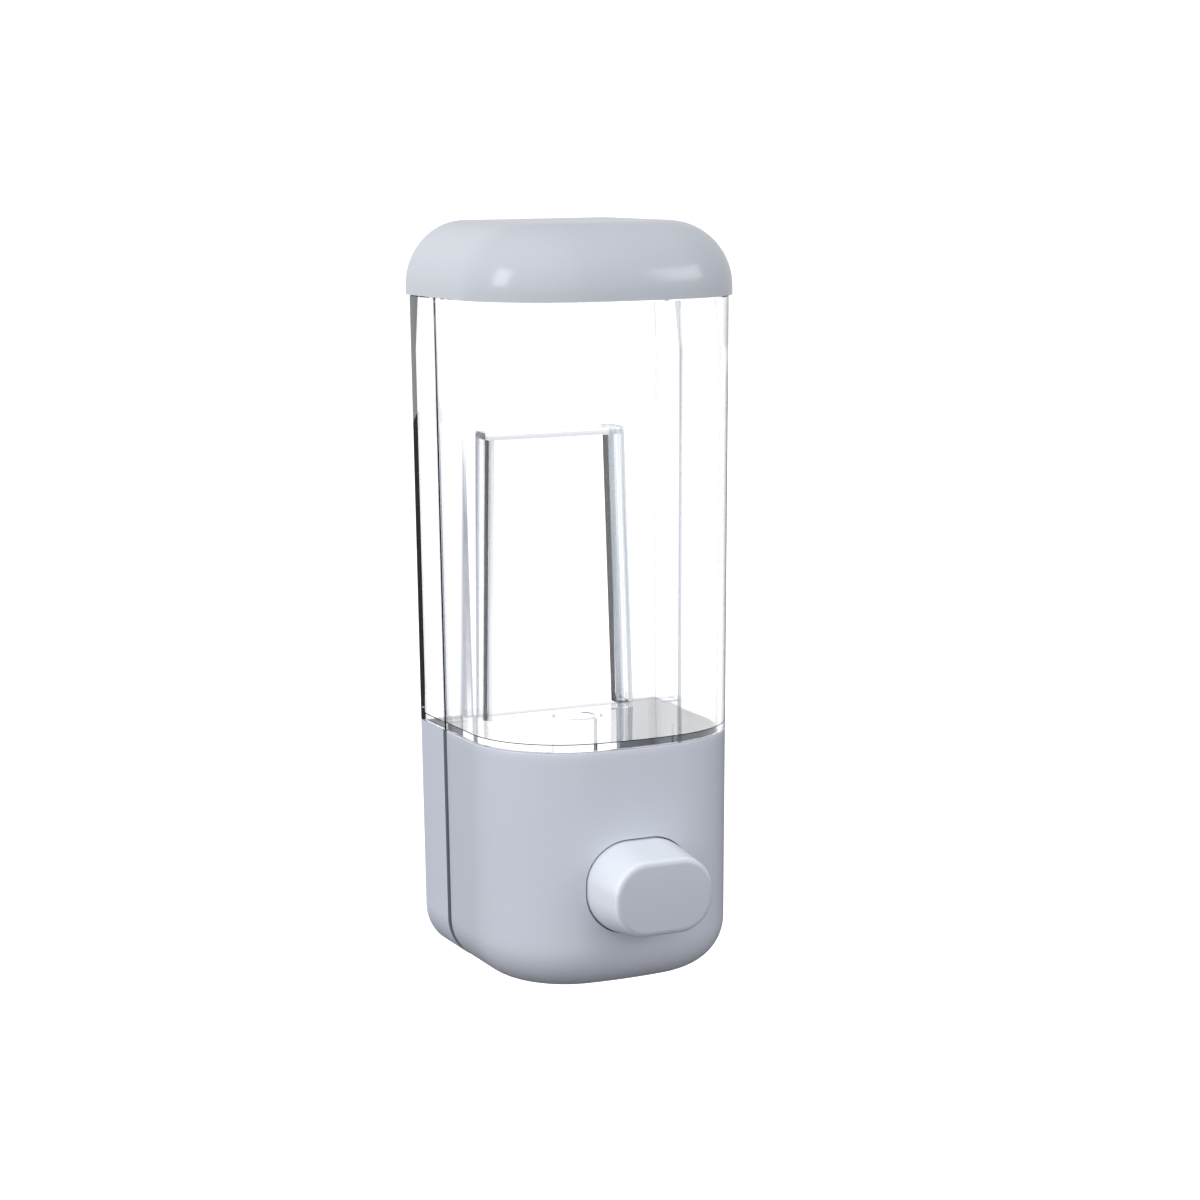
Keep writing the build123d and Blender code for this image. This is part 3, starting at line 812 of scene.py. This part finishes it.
def painted_edge_shade_group():
    """How much a clear wall is painted grey: painted shade and reflection at the recess, the step
    and the back corners, in place of the greying that refraction at the thick edges gives.
    """
    group, given, result = new_group(
        "painted_edge_shade",
        [("Streaks", "NodeSocketFloat", 0.5)],
        [("Amount", "NodeSocketFloat")],
    )
    nodes, links, step = group.nodes, group.links, wire(group)
    place = nodes.new("ShaderNodeTexCoord")
    parts = nodes.new("ShaderNodeSeparateXYZ")
    links.new(place.outputs["Object"], parts.inputs[0])
    x, y, z = (step("MULTIPLY", parts.outputs[i], 1000.0) for i in range(3))
    aside = step("ABSOLUTE", x)

    stretched = nodes.new("ShaderNodeMapping")
    stretched.inputs["Scale"].default_value = (700.0, 700.0, 9.0)
    links.new(place.outputs["Object"], stretched.inputs["Vector"])
    streak = nodes.new("ShaderNodeTexNoise")
    streak.inputs["Scale"].default_value = 1.0
    streak.inputs["Detail"].default_value = 2.0
    links.new(stretched.outputs[0], streak.inputs["Vector"])
    wavy = step("MULTIPLY", step("SUBTRACT", streak.outputs["Fac"], 0.5), given.outputs["Streaks"])

    draft = (RECESS_HALF_LOW - RECESS_HALF_TOP) / (RECESS_TOP - HOUSING_Z)
    mouth = step("MULTIPLY_ADD", step("SUBTRACT", RECESS_TOP, z), draft, RECESS_HALF_TOP)
    beyond = step("SUBTRACT", aside, mouth)
    wall = between(group, beyond, 0.0, CONTAINER_WALL, 0.5)
    wall = step("MULTIPLY", wall, between(group, z, HOUSING_Z - 9, RECESS_TOP + 1.2, 0.6))
    wall = step("MULTIPLY", wall, between(group, y, RECESS_Y - 2.2, 0.0, 0.3))
    depth = step("DIVIDE", step("ADD", y, 15.0), 14.0, clamp=True)
    left = colour_ramp(
        group, depth, [(0.0, 0.8), (0.3, 0.75), (0.4, 0.3), (0.68, 0.2), (0.74, 0.95)]
    )
    right = colour_ramp(
        group, depth, [(0.0, 0.6), (0.24, 0.5), (0.3, 0.0), (0.48, 0.02), (0.54, 0.8), (1.0, 0.8)]
    )
    sides = nodes.new("ShaderNodeMix")
    links.new(step("GREATER_THAN", x, 0.0), sides.inputs["Factor"])
    links.new(left, sides.inputs["A"])
    links.new(right, sides.inputs["B"])
    # painted shade: the recess walls, their ceiling and floor line, the step and the back corners
    # are greyed
    shade = step("MULTIPLY", wall, step("ADD", sides.outputs["Result"], wavy))

    ceiling = between(group, z, RECESS_TOP + 0.3, RECESS_TOP + 1.4, 0.3)
    ceiling = step("MULTIPLY", ceiling, between(group, y, RECESS_Y - 2.2, RECESS_Y + 1, 0.4))
    ceiling = step("MULTIPLY", ceiling, between(group, aside, 0.0, RECESS_HALF_TOP, 0.4))
    shade = step("MAXIMUM", shade, step("MULTIPLY", ceiling, 0.75))
    floor_line = between(group, z, HOUSING_Z + 1.6, HOUSING_Z + 2.4, 0.2)
    floor_line = step("MULTIPLY", floor_line, between(group, y, RECESS_Y - 2.6, RECESS_Y, 0.3))
    shade = step("MAXIMUM", shade, step("MULTIPLY", floor_line, 0.4))

    ledge = between(group, y, SEAM_Y - 1.0, SEAM_Y + 1.0, 0.6)
    ledge = step("MULTIPLY", ledge, between(group, aside, 30.0, 50.0, 1.0))
    weight = step("MULTIPLY_ADD", step("GREATER_THAN", x, 0.0), 0.35, 0.5)
    shade = step("MAXIMUM", shade, step("MULTIPLY", ledge, weight))

    corner = between(group, y, BACK_Y - 1.6, 0.0, 0.8)
    corner = step("MULTIPLY", corner, between(group, aside, 34.0, 50.0, 0.8))
    shade = step("MAXIMUM", shade, step("MULTIPLY", corner, 0.15))
    links.new(shade, result.inputs["Amount"])
    return group


def clear_plastic():
    """Clear container: colourless and polished, with painted grey shade where its wall is seen
    edge on, and at the recess, the step and the back corners.
    """
    material = bpy.data.materials.new("clear_container")
    material.use_nodes = True
    tree, shader = material.node_tree, shader_of(material)
    edges = tree.nodes.new("ShaderNodeGroup")
    edges.node_tree = painted_edge_shade_group()
    edges.inputs["Streaks"].default_value = 0.9
    turned = tree.nodes.new("ShaderNodeLayerWeight")
    turned.inputs["Blend"].default_value = 0.5
    rim = tree.nodes.new("ShaderNodeMapRange")
    rim.inputs["From Min"].default_value = 0.70
    rim.inputs["From Max"].default_value = 0.9
    rim.inputs["To Max"].default_value = 1.0
    tree.links.new(turned.outputs["Facing"], rim.inputs["Value"])
    surface = tree.nodes.new("ShaderNodeNewGeometry")
    normal = tree.nodes.new("ShaderNodeSeparateXYZ")
    tree.links.new(surface.outputs["Normal"], normal.inputs[0])
    step = wire(tree)
    upright = step("LESS_THAN", step("ABSOLUTE", normal.outputs[2]), 0.5)
    most = step("MULTIPLY", rim.outputs["Result"], upright)
    most = step("MAXIMUM", most, edges.outputs["Amount"], clamp=True)
    # painted shade and reflection: the base colour goes to dark grey-blue at edge-on walls and
    # where the edge mask is high
    tint = tree.nodes.new("ShaderNodeMix")
    tint.data_type = "RGBA"
    tint.inputs[6].default_value = (0.99, 0.995, 1.0, 1)
    tint.inputs[7].default_value = (0.16, 0.19, 0.24, 1)
    tree.links.new(most, tint.inputs[0])
    tree.links.new(tint.outputs[2], shader.inputs["Base Color"])
    shader.inputs["Roughness"].default_value = 0.0
    shader.inputs["Transmission Weight"].default_value = 1.0
    shader.inputs["IOR"].default_value = 1.49
    return material


def thin_plastic():
    """Clear spigot, wetted inside, so that it hardly bends light."""
    material = bpy.data.materials.new("clear_spigot")
    material.use_nodes = True
    shader = shader_of(material)
    shader.inputs["Base Color"].default_value = (0.97, 0.98, 0.99, 1)
    shader.inputs["Roughness"].default_value = 0.02
    shader.inputs["Transmission Weight"].default_value = 1.0
    shader.inputs["IOR"].default_value = 1.1
    return material


def steel():
    """Bright drawn steel with a faint fine grain."""
    material = moulded("bright_steel", (0.62, 0.63, 0.64), 0.25, 0.1, 900.0, 0.1, 0.2)
    shader_of(material).inputs["Metallic"].default_value = 1.0
    return material


# ---------------------------------------------------------------- studio


def make_camera():
    """Camera at the viewing angle, rolled a little about its axis."""
    azimuth, elevation = math.radians(CAMERA_AZIMUTH), math.radians(CAMERA_ELEVATION)
    back = Vector(
        (
            math.sin(azimuth) * math.cos(elevation),
            -math.cos(azimuth) * math.cos(elevation),
            math.sin(elevation),
        )
    )
    lens = bpy.data.cameras.new("camera")
    lens.sensor_width = SENSOR
    lens.lens = LENS
    lens.clip_start = 0.01
    lens.clip_end = 50
    camera = bpy.data.objects.new("camera", lens)
    level = (-back).to_track_quat("-Z", "Y").to_matrix()
    turned = level @ Matrix.Rotation(math.radians(CAMERA_ROLL), 3, "Z")
    camera.matrix_world = Matrix.Translation(CAMERA_AIM + back * CAMERA_DISTANCE) @ turned.to_4x4()
    bpy.context.scene.collection.objects.link(camera)
    bpy.context.scene.camera = camera


def area_light(name, spot, aim, size, power):
    """Rectangular soft light that faces a point."""
    light = bpy.data.lights.new(name, "AREA")
    light.shape = "RECTANGLE"
    light.size, light.size_y = size
    light.energy = power
    lamp = bpy.data.objects.new(name, light)
    towards = Vector(aim) - Vector(spot)
    turned = towards.to_track_quat("-Z", "Y").to_matrix().to_4x4()
    lamp.matrix_world = Matrix.Translation(spot) @ turned
    bpy.context.scene.collection.objects.link(lamp)
    return lamp


def sees_backdrop(tree):
    """Mask for rays from the eye, straight or through clear pieces."""
    path = tree.nodes.new("ShaderNodeLightPath")
    return wire(tree)(
        "MAXIMUM", path.outputs["Is Camera Ray"], path.outputs["Is Transmission Ray"]
    )


def make_world():
    """White backdrop to the eye and through clear pieces; the light is from the left and front."""
    world = bpy.data.worlds.new("studio")
    world.use_nodes = True
    bpy.context.scene.world = world
    tree = world.node_tree
    nodes, links, step = tree.nodes, tree.links, wire(tree)
    nodes.clear()
    place = nodes.new("ShaderNodeTexCoord")
    towards = nodes.new("ShaderNodeVectorMath")
    towards.operation = "DOT_PRODUCT"
    towards.inputs[1].default_value = Vector(KEY_SIDE).normalized()
    links.new(place.outputs["Generated"], towards.inputs[0])
    level = nodes.new("ShaderNodeMapRange")
    level.interpolation_type = "SMOOTHSTEP"
    level.inputs["From Min"].default_value = -1.0
    level.inputs["From Max"].default_value = 1.0
    level.inputs["To Min"].default_value = DIM_SIDE
    level.inputs["To Max"].default_value = BRIGHT_SIDE
    links.new(towards.outputs["Value"], level.inputs["Value"])
    path = nodes.new("ShaderNodeLightPath")
    away = nodes.new("ShaderNodeVectorMath")
    away.operation = "DOT_PRODUCT"
    away.inputs[1].default_value = Vector(BACK_SIDE).normalized()
    links.new(place.outputs["Generated"], away.inputs[0])
    behind = between(tree, away.outputs["Value"], 0.95, 2.0, 0.2)
    behind = step("MULTIPLY_ADD", behind, BACK_GLOW, GLOSS_FILL)
    behind = step("MULTIPLY", behind, path.outputs["Is Glossy Ray"])
    falling = nodes.new("ShaderNodeBackground")
    falling.inputs["Color"].default_value = (0.96, 0.98, 1.0, 1)
    links.new(step("ADD", level.outputs["Result"], behind), falling.inputs["Strength"])
    seen = nodes.new("ShaderNodeBackground")
    seen.inputs["Color"].default_value = (1, 1, 1, 1)
    seen.inputs["Strength"].default_value = BACKDROP
    mix = nodes.new("ShaderNodeMixShader")
    links.new(sees_backdrop(tree), mix.inputs[0])
    links.new(falling.outputs[0], mix.inputs[1])
    links.new(seen.outputs[0], mix.inputs[2])
    output = nodes.new("ShaderNodeOutputWorld")
    links.new(mix.outputs[0], output.inputs["Surface"])


def make_floor():
    """Plain pale floor, well below the dispenser."""
    size, z = 6.0, -0.5
    mesh = bpy.data.meshes.new("floor")
    corners = [(-size, -size, z), (size, -size, z), (size, size, z), (-size, size, z)]
    mesh.from_pydata(corners, [], [(0, 1, 2, 3)])
    floor = bpy.data.objects.new("floor", mesh)
    bpy.context.scene.collection.objects.link(floor)
    pale = bpy.data.materials.new("pale_floor")
    pale.use_nodes = True
    shader = shader_of(pale)
    shader.inputs["Base Color"].default_value = (*FLOOR_GREY, 1)
    shader.inputs["Roughness"].default_value = 0.9
    shader.inputs["Emission Color"].default_value = (1, 1, 1, 1)
    strength = wire(pale.node_tree)("MULTIPLY", sees_backdrop(pale.node_tree), BACKDROP)
    pale.node_tree.links.new(strength, shader.inputs["Emission Strength"])
    mesh.materials.append(pale)


# ---------------------------------------------------------------- the object

make_camera()
make_world()
make_floor()
area_light("left_softbox", (-1.1, -0.08, 0.55), (0, -0.03, 0.15), (0.36, 0.5), 2.5)
area_light("right_window", (0.82, -0.75, 0.55), (0, -0.05, 0.16), (0.6, 0.36), 2.3)
bpy.context.scene.view_settings.view_transform = "Standard"

shell_grey = moulded("shell_grey", SHELL_GREY, SHELL_GLOSS, Specular_IOR_Level=0.5)
rear_grey = moulded("rear_grey", REAR_GREY, 0.3)
# the lid's material takes the darker grey, which is painted shade
lid_grey = moulded("lid_grey", LID_SHADED_GREY, SHELL_GLOSS, Specular_IOR_Level=0.5)
button_grey = moulded("button_grey", BUTTON_GREY, 0.3)
# painted shade: the last 9 mm of the button's nose are painted darker than its sides
paint_shading_between(button_grey, END_PAINTED_SHADE, BUTTON_FRONT - 9, BUTTON_FRONT + 0.1, 0.7)
# painted highlight: the last 0.6 mm of the cover before the seam is painted paler
paint_shading_between(shell_grey, SEAM_PAINTED_HIGHLIGHT, SEAM_Y - 0.6, SEAM_Y, 0.2)
# painted shade: the rear housing is painted dark from SEAM_Y to 1.45 mm behind it, where the
# groove is in shadow
paint_shading_between(rear_grey, GROOVE_PAINTED_SHADE, SEAM_Y, SEAM_Y + 1.45, 0.05)
natural_white = moulded("natural_white", (0.78, 0.79, 0.78), 0.45, grain=1200.0)
dark_rubber = moulded("dark_rubber", (0.02, 0.02, 0.022), 0.6, wear=0.02)
silicone = moulded("silicone", (0.7, 0.71, 0.72), 0.4, Subsurface_Weight=0.3)
bright_steel = steel()
clear = clear_plastic()
thin_clear = thin_plastic()

make_container(clear, thin_clear)
make_lid(lid_grey)
make_front_cover(shell_grey)
make_push_button(button_grey)
make_spring(bright_steel)

finishes = [
    (rear_grey, ["rear_housing"]),
    (natural_white, ["wall_bracket", "container_nut", "pump_body", "duct_plug"]),
    (natural_white, ["inlet_cage", "nozzle", "cylinder_cap", "plunger"]),
    (bright_steel, ["cover_screws", "pump_screws", "inlet_ball"]),
    (dark_rubber, ["inlet_seal", "piston_seal"]),
    (silicone, ["outlet_valve", "lid_seal"]),
]
bodies = frame["record"]["behaviour"]["bodies"]
body_of = {node: body for body, nodes in bodies.items() for node in nodes}
for material, nodes in finishes:
    for node in nodes:
        fine_copy(node, body_of[node], material)
